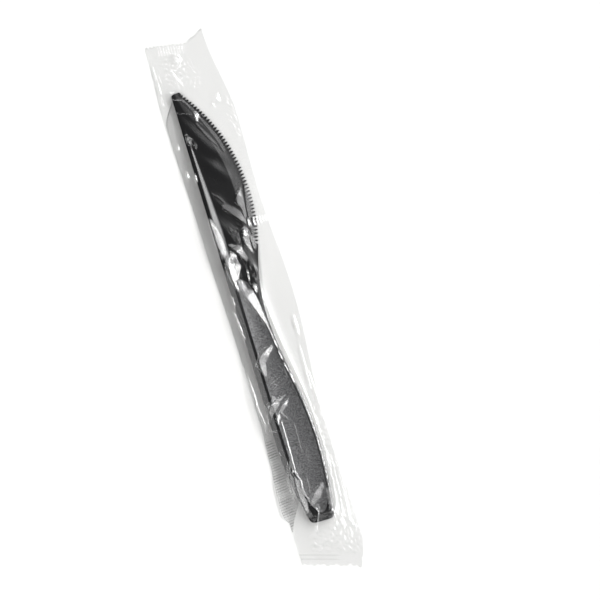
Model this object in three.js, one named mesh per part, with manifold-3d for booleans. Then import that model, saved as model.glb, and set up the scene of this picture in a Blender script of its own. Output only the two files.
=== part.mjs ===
// A disposable table knife sealed in a clear film sleeve, as handed out with take-away food.
// Millimetres, +Z up. The knife is drawn with its tip at Y = 0, its butt towards -Y, its spine on X = 0
// and its toothed edge towards +X. The last section centres the whole part over its footprint.
import * as THREE from "three";
import { mergeVertices } from "three/addons/utils/BufferGeometryUtils.js";
import Module from "manifold-3d";

const wasm = await Module();
wasm.setup();

// Knife plan: distances run from the tip along the spine, widths run from the spine
const KNIFE_LENGTH = 188;
const TIP_WIDTH = 3.6;
const TIP_ROUND = 1;
const BELLY_AT = 50;
const BELLY_WIDTH = 20;
const BELLY_FULLNESS = 2.35;
const BLADE_LENGTH = 70;
const HEEL_WIDTH = 16.9;
const NECK_AT = 97;
const NECK_WIDTH = 12;
const HANDLE_AT = 154;
const HANDLE_WIDTH = 17.7;
const BUTT_TAPER = 36;
const BUTT_INSET = 4.7;
const BUTT_WIDTH = 9.8;
const BUTT_ROUND = 2;

// Saw teeth along the edge
const TOOTH_PITCH = 1.5;
const TOOTH_DEPTH = 1.5;
const TOOTH_RAKE = 0.15;
const TOOTH_LAND = 0.45;
const TOOTH_GULLET = 0.45;

// Knife heights above its flat back, and the widths of its sloped flanks
const FACE_TIP = 1.8;
const FACE_NECK = 2.3;
const EDGE_HEIGHT = 0.7;
const SIDE_STEP = 0.6;
const SIDE_HEIGHT = 1.6;
const CREST_HEIGHT = 3.8;
const RIM_HEIGHT = 3.1;
const BLADE_FLANK = 1.5;
const SPINE_FLANK = 2.4;
const EDGE_FLANK = 0.9;
const EDGE_BEVEL = 6;
const EDGE_LAND = 0.15;
const CREST_START = 14;
const CREST_FULL = 60;
const CREST_RUN = 1.8;
const RIM_RISE = 36;

// Dished grip panel on the handle
const PANEL_START = 82;
const PANEL_MARGIN = 3.4;
const PANEL_RIM = 0.9;
const PANEL_EDGE_RIM = 0.4;
const PANEL_STEP = 0.15;
const PANEL_DISH = 0.8;
const PANEL_NOSE = 20;
const PANEL_NOSE_IN = 1.7;
const PANEL_SHOULDER = 5;
const PANEL_TAIL = 8;

// Film sleeve: room past the knife, margins beside it and the seals
const FILM = 0.05;
const CLEARANCE = 0.1;
const TIP_ROOM = 21.5;
const BUTT_ROOM = 19;
const SPINE_MARGINS = [
  [-20, 5],
  [10, 6.1],
  [60, 5],
  [112, 4],
  [146, 4.2],
  [176, 5.8],
  [183.5, 3.6],
  [195, 4.3],
  [205, 4.1],
];
const EDGE_MARGINS = [
  [-20, 0.2],
  [15, 4.1],
  [48, 3.4],
  [100, 5.8],
  [147, 4.4],
  [180, 5],
  [196, 5.5],
  [207, 2.4],
];
const SEAL_BAND = 4;
const SEAL_WAVE = 0.35;
const SEAL_LAP = 1;
const CUT_PITCH = 2.1;
const CUT_TOOTH = 0.5;
const BUTT_SEAL_SLANT = -0.31;
const FIN_INSET = 0.8;
const FIN_SEAM = 3;
const FIN_RAMP = 1;
const VENT_WIDTH = 1.1;
const VENT_HEIGHT = 0.2;

// Folds of the film: ends of each ridge from the spine and from the tip, then its height and half width
const FOLDS = [
  { from: [7.1, 51.3], to: [14.3, 60.4], height: 1.1, half: 2.6 },
  { from: [13.7, 48], to: [13.8, 54], height: 1.1, half: 2.4 },
  { from: [17.6, 46], to: [16.2, 66], height: 0.8, half: 1.8 },
  { from: [15.3, 60], to: [22.5, 61], height: 1.3, half: 2.4 },
  { from: [12, 62.5], to: [12.3, 71], height: 1.2, half: 2.4 },
  { from: [0.3, 56], to: [0.7, 69], height: 1.3, half: 2.2 },
  { from: [3.2, 72.5], to: [2.8, 85], height: 1.8, half: 3.2 },
  { from: [6.2, 90.5], to: [10.2, 103], height: 1.3, half: 2.2 },
  { from: [8, 112], to: [3.2, 121], height: 1.5, half: 2.6 },
  { from: [6.2, 133], to: [0.8, 138.5], height: 1.4, half: 2.6 },
  { from: [4.5, 143], to: [4.1, 165], height: 0.4, half: 1.6 },
  { from: [1.8, 161], to: [0.6, 174], height: 1.3, half: 2.4 },
  { from: [11, 174], to: [7, 179], height: 1.1, half: 2.6 },
  { from: [4.1, 165], to: [5.7, 190], height: 0.4, half: 1.6 },
  { from: [21.6, 105], to: [17.5, 192], height: 0.6, half: 1.6 },
];
const GATHER_PITCH = 5.2;
const GATHER_HEIGHT = 0.6;
const GATHER_LENGTH = 16;

// Fineness of the facets
const KNIFE_STEP = 4;
const FILM_COLUMNS = 28;
const FILM_ROWS = 60;
const SETTLING_PASSES = 400;

const SPINE_STRAIGHT = KNIFE_LENGTH - BUTT_TAPER;
const PANEL_END = KNIFE_LENGTH - PANEL_MARGIN;
const FIN = 2 * FILM;
const KNIFE_LIFT = FIN + FILM + CLEARANCE;

const mix = (a, b, t) => a + (b - a) * t;
const ramp = (from, to, x) => THREE.MathUtils.clamp((x - from) / (to - from), 0, 1);
const ease = (from, to, x) => THREE.MathUtils.smoothstep(x, from, to);

// A smooth curve through hand-set [position, value] knots, level past both ends
function through(knots) {
  return (at) => {
    const next = knots.findIndex(([position]) => position > at);
    if (next < 0) return knots.at(-1)[1];
    if (next === 0) return knots[0][1];
    const [from, low] = knots[next - 1];
    const [to, high] = knots[next];
    return mix(low, high, ease(from, to, at));
  };
}

// Knife outline as two curves over the distance s from the tip

function spineAt(s) {
  return BUTT_INSET * ramp(SPINE_STRAIGHT, KNIFE_LENGTH, s) ** 2;
}

function edgeAt(s) {
  if (s <= BELLY_AT) {
    const left = 1 - ramp(0, BELLY_AT, s);
    return mix(TIP_WIDTH, BELLY_WIDTH, 1 - left ** BELLY_FULLNESS);
  }
  if (s <= BLADE_LENGTH) {
    return mix(BELLY_WIDTH, HEEL_WIDTH, ramp(BELLY_AT, BLADE_LENGTH, s) ** 2);
  }
  if (s <= NECK_AT) {
    // leaves the heel with the slope of the toothed edge and is level at the neck
    const t = ramp(BLADE_LENGTH, NECK_AT, s);
    const heelSlope = (2 * (HEEL_WIDTH - BELLY_WIDTH)) / (BLADE_LENGTH - BELLY_AT);
    const lead = heelSlope * (NECK_AT - BLADE_LENGTH) * t * (1 - t) ** 2;
    return mix(HEEL_WIDTH, NECK_WIDTH, ease(0, 1, t)) + lead;
  }
  if (s <= HANDLE_AT) {
    return mix(NECK_WIDTH, HANDLE_WIDTH, ease(NECK_AT, HANDLE_AT, s));
  }
  return mix(HANDLE_WIDTH, BUTT_INSET + BUTT_WIDTH, ramp(HANDLE_AT, KNIFE_LENGTH, s) ** 2);
}

// The toothed edge as a curve, so that the teeth are stepped off by length along it
class ToothedEdge extends THREE.Curve {
  getPoint(t, target = new THREE.Vector2()) {
    const s = t * BLADE_LENGTH;
    return target.set(edgeAt(s), -s);
  }
}

// Points of every tooth, from the tip to the heel: a steep upper side, a small land and a raked lower side
function toothPoints() {
  const edge = new ToothedEdge();
  const length = edge.getLength();
  const corners = [
    [0, TOOTH_DEPTH],
    [TOOTH_RAKE, 0],
    [TOOTH_RAKE + TOOTH_LAND, 0],
    [TOOTH_PITCH - TOOTH_GULLET, TOOTH_DEPTH],
  ];
  const points = [];
  for (let start = TOOTH_PITCH; start + TOOTH_PITCH < length; start += TOOTH_PITCH) {
    for (const [along, depth] of corners) {
      const u = (start + along) / length;
      const tangent = edge.getTangentAt(u);
      const inward = new THREE.Vector2(tangent.y, -tangent.x);
      points.push(edge.getPointAt(u).addScaledVector(inward, depth));
    }
  }
  return points;
}

function knifeOutline() {
  const outline = new THREE.Shape();
  outline.moveTo(0, -TIP_ROUND);
  outline.quadraticCurveTo(0, 0, TIP_WIDTH, 0);
  toothPoints().forEach((p) => outline.lineTo(p.x, p.y));
  const cornerAt = KNIFE_LENGTH - BUTT_ROUND;
  for (let s = BLADE_LENGTH; s < cornerAt; s += KNIFE_STEP) outline.lineTo(edgeAt(s), -s);
  outline.lineTo(edgeAt(cornerAt), -cornerAt);
  const right = edgeAt(KNIFE_LENGTH);
  const left = spineAt(KNIFE_LENGTH);
  outline.quadraticCurveTo(right, -KNIFE_LENGTH, right - BUTT_ROUND, -KNIFE_LENGTH);
  outline.lineTo(left + BUTT_ROUND, -KNIFE_LENGTH);
  outline.quadraticCurveTo(left, -KNIFE_LENGTH, spineAt(cornerAt), -cornerAt);
  for (let s = cornerAt - KNIFE_STEP; s > SPINE_STRAIGHT; s -= KNIFE_STEP) {
    outline.lineTo(spineAt(s), -s);
  }
  outline.lineTo(0, -SPINE_STRAIGHT);
  return outline;
}

// Upper face of the knife across one station, as [x, z] knots from the spine to the edge
function section(s) {
  const left = spineAt(s);
  const right = edgeAt(s);
  const handle = ease(BLADE_LENGTH, PANEL_START, s);
  const bevel = mix(EDGE_BEVEL, EDGE_FLANK, handle);
  const flank = mix(BLADE_FLANK, SPINE_FLANK, handle);
  const fit = Math.min(1, (right - left) / (flank + bevel + CREST_RUN));
  const end = ramp(KNIFE_LENGTH, PANEL_END, s);
  const face = mix(FACE_TIP, FACE_NECK, ramp(0, PANEL_START, s));
  const crest = mix(face, CREST_HEIGHT, ramp(CREST_START, CREST_FULL, s));
  const rim = mix(face, RIM_HEIGHT, ease(PANEL_START, PANEL_START + RIM_RISE, s));
  const crestX = left + flank * fit;
  const rimX = right - bevel * fit;
  const rootX = right - mix(TOOTH_DEPTH, EDGE_LAND, handle) * fit;
  const edgeZ = mix(mix(face, EDGE_HEIGHT, fit), SIDE_HEIGHT, handle);
  const grip = ease(PANEL_START - CREST_RUN, PANEL_START + PANEL_NOSE / 2, s);
  const footX = mix(crestX + (crest - face) * CREST_RUN, (crestX + rimX) / 2, grip);
  const footZ = mix(face, (crest + rim) / 2, grip);
  const lower = (z) => mix(SIDE_HEIGHT, z, end);
  return [
    [left, mix(crest - SIDE_STEP * fit, SIDE_HEIGHT, handle)],
    [crestX, lower(crest)],
    [Math.min(footX, rimX - fit), lower(footZ)],
    [rimX, lower(rim)],
    [rootX, edgeZ],
    [right, edgeZ],
  ];
}

// Height of the knife's upper face at one place, or none outside its outline
function knifeTop(x, s) {
  if (s < 0 || s > KNIFE_LENGTH) return 0;
  const knots = section(s);
  if (x < knots[0][0] || x > knots.at(-1)[0]) return 0;
  const next = Math.max(1, knots.findIndex(([at]) => at >= x));
  const [from, low] = knots[next - 1];
  const [to, high] = knots[next];
  return mix(low, high, (x - from) / (to - from));
}

// Meshes from rings of points, and solids from meshes

function loft(rings) {
  const count = rings[0].length;
  const index = [];
  for (let r = 0; r + 1 < rings.length; r++) {
    for (let i = 0; i < count; i++) {
      const a = r * count + i;
      const b = r * count + ((i + 1) % count);
      index.push(a, a + count, b, b, a + count, b + count);
    }
  }
  const last = (rings.length - 1) * count;
  capOf(rings[0]).forEach(([a, b, c]) => index.push(a, b, c));
  capOf(rings.at(-1)).forEach(([a, b, c]) => index.push(last + a, last + c, last + b));
  const geometry = new THREE.BufferGeometry().setFromPoints(rings.flat());
  geometry.setIndex(index);
  return geometry;
}

// Triangles that close a ring, wound the way the ring runs, worked out in the plane where it is widest
function capOf(ring) {
  const size = new THREE.Box3().setFromPoints(ring).getSize(new THREE.Vector3());
  const flat = ring.map((p) => new THREE.Vector2(size.x < size.y ? p.y : p.x, p.z));
  const faces = THREE.ShapeUtils.triangulateShape(flat, []);
  return THREE.ShapeUtils.isClockWise(flat) ? faces.map(([a, b, c]) => [a, c, b]) : faces;
}

function solidOf(geometry) {
  geometry.deleteAttribute("normal");
  geometry.deleteAttribute("uv");
  const merged = mergeVertices(geometry);
  return new wasm.Manifold(
    new wasm.Mesh({
      numProp: 3,
      vertProperties: merged.attributes.position.array,
      triVerts: new Uint32Array(merged.index.array),
    }),
  );
}

function geometryOf(solid) {
  const mesh = solid.getMesh();
  const geometry = new THREE.BufferGeometry();
  geometry.setAttribute("position", new THREE.BufferAttribute(mesh.vertProperties, 3));
  geometry.setIndex(new THREE.BufferAttribute(mesh.triVerts, 1));
  geometry.computeVertexNormals();
  return geometry;
}

// Knife: the toothed outline stood up as a slab, under a roof of sections, less the dished panel

function knifeRoof() {
  const over = TOOTH_DEPTH;
  const rings = [];
  for (let s = -KNIFE_STEP; s < KNIFE_LENGTH + 2 * KNIFE_STEP; s += KNIFE_STEP) {
    const knots = section(THREE.MathUtils.clamp(s, 0, KNIFE_LENGTH));
    const [left, right] = [knots[0], knots.at(-1)];
    const top = [[left[0] - over, left[1]], ...knots, [right[0] + over, right[1]]];
    const foot = [[right[0] + over, -over], [left[0] - over, -over]];
    rings.push([...top, ...foot].map(([x, z]) => new THREE.Vector3(x, -s, z)));
  }
  return solidOf(loft(rings));
}

// Quarter-round growth from 0 at one distance to 1 at another, as the outline of a rounded end
const rounded = (from, to, s) => Math.sqrt(1 - (1 - ramp(from, to, s)) ** 2);

// Cut of the dished panel: its nose lies beside the crest, its tail is rounded about the middle of the handle
function panelCutter() {
  const rings = [];
  const steps = Math.ceil((PANEL_END - PANEL_START) / KNIFE_STEP);
  for (let i = 0; i <= steps; i++) {
    const s = mix(PANEL_START, PANEL_END, (1 - Math.cos((Math.PI * i) / steps)) / 2);
    const knots = section(s);
    const low = knots[1][0] + PANEL_RIM;
    const high = knots[3][0] - PANEL_EDGE_RIM;
    const middle = s < HANDLE_AT ? low + PANEL_NOSE_IN : (low + high) / 2;
    const tail = rounded(PANEL_END, PANEL_END - PANEL_TAIL, s);
    const lowGrowth = Math.min(tail, rounded(PANEL_START, PANEL_START + PANEL_SHOULDER, s));
    const highGrowth = Math.min(tail, rounded(PANEL_START, PANEL_START + PANEL_NOSE, s));
    const from = mix(middle, low, lowGrowth) - PANEL_STEP;
    const to = mix(middle, high, highGrowth) + PANEL_STEP;
    const floor = [0, 0.25, 0.5, 0.75, 1].map((t) => {
      const x = mix(from, to, t);
      const dish = PANEL_STEP + PANEL_DISH * ((to - from) / (high - low)) * 4 * t * (1 - t);
      return [x, knifeTop(x, s) - dish];
    });
    const top = CREST_HEIGHT + CLEARANCE;
    const ring = [[to, top], ...floor.reverse(), [from, top]];
    rings.push(ring.map(([x, z]) => new THREE.Vector3(x, -s, z)));
  }
  return solidOf(loft(rings));
}

function knifeSolid() {
  const slab = new THREE.ExtrudeGeometry(knifeOutline(), {
    depth: CREST_HEIGHT + CLEARANCE,
    bevelEnabled: false,
    curveSegments: 4,
  });
  const made = solidOf(slab).intersect(knifeRoof()).subtract(panelCutter());
  return made.translate([0, 0, KNIFE_LIFT]);
}

// Film sleeve

const sealTip = -TIP_ROOM + SEAL_BAND;
const sealButt = KNIFE_LENGTH + BUTT_ROOM - SEAL_BAND;
const spineMargin = through(SPINE_MARGINS);
const edgeMargin = through(EDGE_MARGINS);
const filmLeft = (s) => -spineMargin(s);
const filmRight = (s) => mix(BELLY_WIDTH, HANDLE_WIDTH, ease(BLADE_LENGTH, HANDLE_AT, s)) + edgeMargin(s);

// A point of the film: past the butt the sleeve skews towards its slanted end seal
function place(x, s, z) {
  const middle = (filmLeft(s) + filmRight(s)) / 2;
  const skew = BUTT_SEAL_SLANT * (x - middle) * ease(KNIFE_LENGTH, sealButt, s);
  return new THREE.Vector3(x, -s + skew, z);
}

// Underside of the sleeve: it lies on the table, and steps up over the folded fin
const underside = (x) => FIN * ramp(FIN_SEAM + FIN_RAMP, FIN_SEAM, x);

// How far one fold or the gathers beside a seal lift the film
function foldLift(x, s) {
  let lift = 0;
  for (const { from, to, height, half } of FOLDS) {
    const line = new THREE.Line3(new THREE.Vector3(...from, 0), new THREE.Vector3(...to, 0));
    const spot = new THREE.Vector3(x, s, 0);
    const away = line.closestPointToPoint(spot, true, new THREE.Vector3()).distanceTo(spot);
    lift = Math.max(lift, height * (1 - away / half));
  }
  const wave = Math.abs(((x / GATHER_PITCH) % 1) - 0.5) * 2;
  for (const seal of [sealTip, sealButt]) {
    const t = Math.abs(s - seal) / GATHER_LENGTH;
    if (t < 1) lift += GATHER_HEIGHT * wave * Math.sin(Math.PI * t);
  }
  return lift;
}

// Height of the film's inner face on a grid: pulled taut like a membrane over the knife
function drape() {
  const rows = [];
  const rowStep = (sealButt - sealTip) / FILM_ROWS;
  for (let r = 0; r <= FILM_ROWS; r++) {
    const s = sealTip + r * rowStep;
    const columnStep = (filmRight(s) - filmLeft(s)) / FILM_COLUMNS;
    const row = [];
    for (let c = 0; c <= FILM_COLUMNS; c++) {
      const x = filmLeft(s) + c * columnStep;
      const around = [-1, -0.5, 0, 0.5, 1];
      const tops = around.flatMap((i) => around.map((j) => knifeTop(x + i * columnStep, s + j * rowStep)));
      const under = Math.max(...tops);
      const rest = underside(x) + FILM + CLEARANCE;
      const fixed = r === 0 || r === FILM_ROWS || c === 0 || c === FILM_COLUMNS;
      const held = under > 0 && !fixed ? KNIFE_LIFT + under + CLEARANCE : rest;
      row.push({ x, s, held, fixed, z: held });
    }
    rows.push(row);
  }
  const pull = ((filmRight(0) - filmLeft(0)) / FILM_COLUMNS / rowStep) ** 2;
  for (let pass = 0; pass < SETTLING_PASSES; pass++) {
    for (let r = 1; r < FILM_ROWS; r++) {
      for (let c = 1; c < FILM_COLUMNS; c++) {
        const across = rows[r][c - 1].z + rows[r][c + 1].z;
        const along = rows[r - 1][c].z + rows[r + 1][c].z;
        rows[r][c].z = Math.max(rows[r][c].held, (across + pull * along) / (2 + 2 * pull));
      }
    }
  }
  rows.flat().forEach((p) => {
    if (!p.fixed) p.z += foldLift(p.x, p.s);
  });
  return rows;
}

// Ring round the sleeve at one row: skin 0 is the inner face, FILM the outer face with the fin welded on
function sleeveRing(row, skin) {
  const { s } = row[0];
  const inset = 2 * (FILM - skin);
  const left = filmLeft(s) + inset;
  const right = filmRight(s) - inset;
  const edgeZ = (x) => underside(x) + FILM + CLEARANCE / 2;
  const step = skin ? left + FIN_INSET : FIN_SEAM;
  const foot = skin ? 0 : FILM;
  return [
    place(left, s, edgeZ(left)),
    ...row.slice(1, -1).map((p) => place(p.x, s, p.z + skin)),
    place(right, s, edgeZ(right)),
    place(right - FIN, s, foot),
    place(step + FIN_RAMP / 2, s, foot),
    place(step, s, foot + FIN),
    place(left + FIN, s, foot + FIN),
  ];
}

// One row across a crimped end seal: ribs run along the sleeve, and the film stands off where the fin crosses
function sealRow(s) {
  const row = [];
  for (let c = 0; c <= FILM_COLUMNS; c++) {
    const x = mix(filmLeft(s), filmRight(s), c / FILM_COLUMNS);
    const swell = Math.abs(x - FIN_SEAM) < VENT_WIDTH;
    row.push({ x, s, z: FIN + FILM + (swell || c % 2 ? SEAL_WAVE : 0) });
  }
  return row;
}

// Zigzag knife cut that ends the film: everything past the cut, as a slab
function cutSolid(cut, way) {
  const left = filmLeft(cut) - SEAL_BAND;
  const steps = Math.ceil((filmRight(cut) + SEAL_BAND - left) / CUT_PITCH) * 2;
  const line = [];
  for (let i = 0; i <= steps; i++) {
    line.push([left + (i * CUT_PITCH) / 2, cut - way * CUT_TOOTH * (i % 2)]);
  }
  const past = [line.at(-1)[0], left].map((x) => [x, cut + way * SEAL_BAND]);
  const outline = new THREE.Shape([...line, ...past].map(([x, s]) => place(x, s, 0)));
  const slab = new THREE.ExtrudeGeometry(outline, { depth: CREST_HEIGHT, bevelEnabled: false });
  return solidOf(slab).translate([0, 0, -CLEARANCE]);
}

// The small channel that the fin leaves in the tip's seal, so that air can pass
function ventSolid() {
  const half = VENT_WIDTH / 2;
  const low = FIN + FILM;
  const rings = [-TIP_ROOM - SEAL_BAND, sealTip + 2 * SEAL_LAP].map((s) => [
    place(FIN_SEAM - half, s, low),
    place(FIN_SEAM - half / 2, s, low + VENT_HEIGHT),
    place(FIN_SEAM + half / 2, s, low + VENT_HEIGHT),
    place(FIN_SEAM + half, s, low),
  ]);
  return solidOf(loft(rings));
}

function wrapperSolid() {
  const rows = drape();
  const tipSeal = [-TIP_ROOM - SEAL_LAP, sealTip - SEAL_LAP].map(sealRow);
  const buttSeal = [sealButt + SEAL_LAP, KNIFE_LENGTH + BUTT_ROOM + SEAL_LAP].map(sealRow);
  const outer = [...tipSeal, ...rows, ...buttSeal].map((row) => sleeveRing(row, FILM));
  const inner = rows.map((row) => sleeveRing(row, 0));
  return solidOf(loft(outer))
    .subtract(solidOf(loft(inner)))
    .subtract(ventSolid())
    .subtract(cutSolid(-TIP_ROOM, -1))
    .subtract(cutSolid(KNIFE_LENGTH + BUTT_ROOM, 1));
}

// The part: both pieces, centred over the footprint with the sleeve's back on Z = 0

const blackPolystyrene = new THREE.MeshStandardMaterial({ color: 0x0d0d0e, roughness: 0.25, metalness: 0 });
const clearFilm = new THREE.MeshStandardMaterial({
  color: 0xe8eaec,
  roughness: 0.12,
  metalness: 0,
  transparent: true,
  opacity: 0.25,
});

const knife = new THREE.Mesh(geometryOf(knifeSolid()), blackPolystyrene);
knife.name = "knife";
const wrapper = new THREE.Mesh(geometryOf(wrapperSolid()), clearFilm);
wrapper.name = "wrapper";

const pieces = new THREE.Group();
pieces.add(knife, wrapper);
const box = new THREE.Box3().setFromObject(pieces);
const centre = box.getCenter(new THREE.Vector3());
pieces.position.set(-centre.x, -centre.y, -box.min.z);

const part = new THREE.Group();
part.add(pieces);

export default part;
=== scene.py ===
"""A plastic table knife sealed in a clear film sleeve: its pieces, its finishes and a plain stage."""

import math
from types import SimpleNamespace

import bmesh
import bpy
import numpy as np
from bpy.props import FloatProperty, FloatVectorProperty, IntProperty, PointerProperty
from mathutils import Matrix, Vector


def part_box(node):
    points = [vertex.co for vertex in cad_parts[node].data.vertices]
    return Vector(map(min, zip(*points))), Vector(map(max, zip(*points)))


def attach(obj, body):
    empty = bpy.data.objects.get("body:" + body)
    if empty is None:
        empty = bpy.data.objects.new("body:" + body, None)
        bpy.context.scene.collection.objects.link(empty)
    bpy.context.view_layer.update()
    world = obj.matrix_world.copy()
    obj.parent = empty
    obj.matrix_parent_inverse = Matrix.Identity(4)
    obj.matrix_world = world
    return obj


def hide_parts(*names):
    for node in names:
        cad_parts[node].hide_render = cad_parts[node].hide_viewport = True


bl_info = {
    "name": "Wrapped table knife",
    "version": (1, 0, 0),
    "blender": (4, 5, 0),
    "location": "View3D > Sidebar > Wrapped knife",
    "description": "Builds a plastic table knife in a clear film sleeve over its packed frame",
    "category": "Add Mesh",
}

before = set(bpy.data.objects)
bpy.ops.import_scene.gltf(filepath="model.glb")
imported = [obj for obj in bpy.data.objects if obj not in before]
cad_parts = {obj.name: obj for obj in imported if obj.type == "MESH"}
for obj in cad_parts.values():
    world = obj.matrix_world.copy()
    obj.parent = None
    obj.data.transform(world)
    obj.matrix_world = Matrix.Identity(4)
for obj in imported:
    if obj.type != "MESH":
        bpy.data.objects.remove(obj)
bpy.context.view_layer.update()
KNIFE_LOW, KNIFE_HIGH = (Vector(corner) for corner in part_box("knife"))
MM = 0.001
TINY = 1e-6

# Knife plan, in millimetres: distances run from the tip along the spine, widths run from the spine
TIP_WIDTH = 3.6
TIP_ROUND = 1.0
BELLY_AT = 50.0
BELLY_FULLNESS = 2.35
BLADE_LENGTH = 70.0
HEEL_WIDTH = 16.9
NECK_AT = 97.0
HANDLE_AT = 154.0
SPINE_STRAIGHT = 152.0
BUTT_INSET = 4.7
BUTT_WIDTH = 9.8
BUTT_ROUND = 2.0
TIP_STATIONS = [0.02, 0.12, 0.3, 0.6, 0.9]
HANDLE_STEP = 0.5
BUTT_STATIONS = 9
EDGE_SAMPLES = 4000

# Saw teeth: a steep side, a small land, a raked side and a gullet
TOOTH_RAKE = 0.15
TOOTH_LAND = 0.45
TOOTH_GULLET = 0.45

# Heights above the knife's flat back, and widths of its sloped flanks
FACE_TIP = 1.8
FACE_NECK = 2.3
EDGE_HEIGHT = 0.7
SIDE_STEP = 0.6
SIDE_HEIGHT = 1.6
BLADE_FLANK = 1.5
SPINE_FLANK = 2.4
EDGE_FLANK = 0.9
EDGE_BEVEL = 6.0
EDGE_LAND = 0.15
FACE_LEAST = 0.25
CREST_START = 14.0
CREST_FULL = 60.0
CREST_RUN = 1.8
RIM_RISE = 36.0
CORNER = 0.15
FOOT = 0.15
KNIFE_SHARP = math.radians(32)

# Dished grip panel on the handle
PANEL_START = 82.0
PANEL_END = 184.6
PANEL_RIM = 0.9
PANEL_EDGE_RIM = 0.4
PANEL_STEP = 0.15
PANEL_WALL = 0.14
PANEL_NOSE = 20.0
PANEL_NOSE_IN = 1.7
PANEL_SHOULDER = 5.0
PANEL_TAIL = 8.0

# Film sleeve: its cut ends, its margins beside the knife as distance from the tip and width, and its ruffle
FILM_TIP = -21.5
FILM_BUTT = 207.0
SPINE_MARGINS = [
    (-20, 5), (10, 6.1), (60, 5), (112, 4), (146, 4.2), (176, 4.4), (183.5, 3.2), (195, 4.3), (205, 4.1),
]
EDGE_MARGINS = [(-20, 0.2), (15, 4.1), (48, 3.4), (100, 5.8), (147, 4.4), (180, 5.0), (196, 5.5), (207, 2.4)]
RUFFLE = 0.35
RUFFLE_RATES = (1.7, 0.61)
RUFFLE_GROWS = (150, 172)

# Cut and seal at the tip: the cut's line, its zigzag teeth and curl, and the ribs of the crimp
TIP_CUT = [(-6, -22.4), (-1.6, -21.9), (5, -20.6), (12, -19.5), (15.5, -20.8), (20, -23)]
TIP_CUT_FADE = 12
CUT_TEETH = 16
CUT_TOOTH = 1.0
CUT_TOOTH_BAND = 1.5
CUT_TEETH_STOP = (14, 11)
CUT_CURL = 0.3
CUT_CURL_BAND = 0.8
SEAL_BAND = 4.5
SEAL_FADE = 2
RIBS = 0.31
RIBS_SLANT = 0.06
RIBS_START = (-1.5, 0.5)
RIBS_STOP = (12, 10)
RIBS_FADE = 1.5

# Cut and seal at the butt: its slant, the waves of its edge as height, rate and start, and two pressed lines
BUTT_SLANT = -0.31
BUTT_WAVES = [(0.35, 2.4, 0), (0.3, 1.07, 1)]
BUTT_WAVE_BAND = 1.5
BUTT_WAVE_GROWTH = 2.2
BUTT_WAVES_GROW = (13, 20)
BUTT_LINES = [(0, 0.6), (1.6, 0.5)]
BUTT_LINE_HEIGHT = 0.3
BUTT_LINES_STOP = (14, 9)

# How the film lies: gaps between layers, folded sides, slack beside the handle and waves of the back sheet
FILM_GAP = 0.06
TAUT_GAP = 0.08
TAUT_ROUNDS = 600
TAUT_STRIDE = 1.8
FOLD_HEIGHT = 0.2
FOLD_SHARE = 0.03
SLACK = 4
SLACK_GROWS = (76, 100)
SLACK_END = 8
LAID_WAVE = 0.12
LAID_WAVE_PITCH = 3.4
LAID_WAVE_SLANT = 0.05

# Film mesh: rows along it, columns across each sheet, the column of the back that the seam cuts, and how far
# short of the last node heights are read
FILM_ROWS = 600
TOP_COLUMNS = 128
BACK_COLUMNS = 32
SEAM_COLUMN = 8
NODE_SHORT = 0.001
FILM_SHARP = math.radians(110)

# Folds of the film, soft swells and crisp creases: the points of the ridge, each as distance from the spine,
# distance from the tip and width of the lit side, and then the slope of that side in degrees
SWELLS = [
    ([(0.5, 11.8, 2.5), (3.6, 18.8, 5.4), (7.6, 25.7, 5.4), (12.9, 31.2, 2.5)], 17),
    ([(3.9, 29.4, 2.1), (6.5, 33.7, 5.4), (11.4, 39.1, 2.9)], 17.5),
    ([(1, 4.1, 1.7), (3.1, 7.4, 2.9), (5, 11, 1.7)], 15),
    ([(1.8, 44.9, 1.7), (4.3, 48.2, 4.2), (7.5, 51.8, 2.5)], 17),
    ([(2.8, 56.1, 2.1), (4.8, 61, 5), (7.5, 66.2, 4.6), (9.1, 69.7, 2.1)], 17),
    ([(3.1, 121.5, 1.3), (4, 125.6, 3.3), (5.8, 129.7, 1.7)], 14),
    ([(10, 153.2, 1.3), (9.4, 159.5, 3.8), (8.8, 165.9, 2.1)], 13),
]
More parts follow.
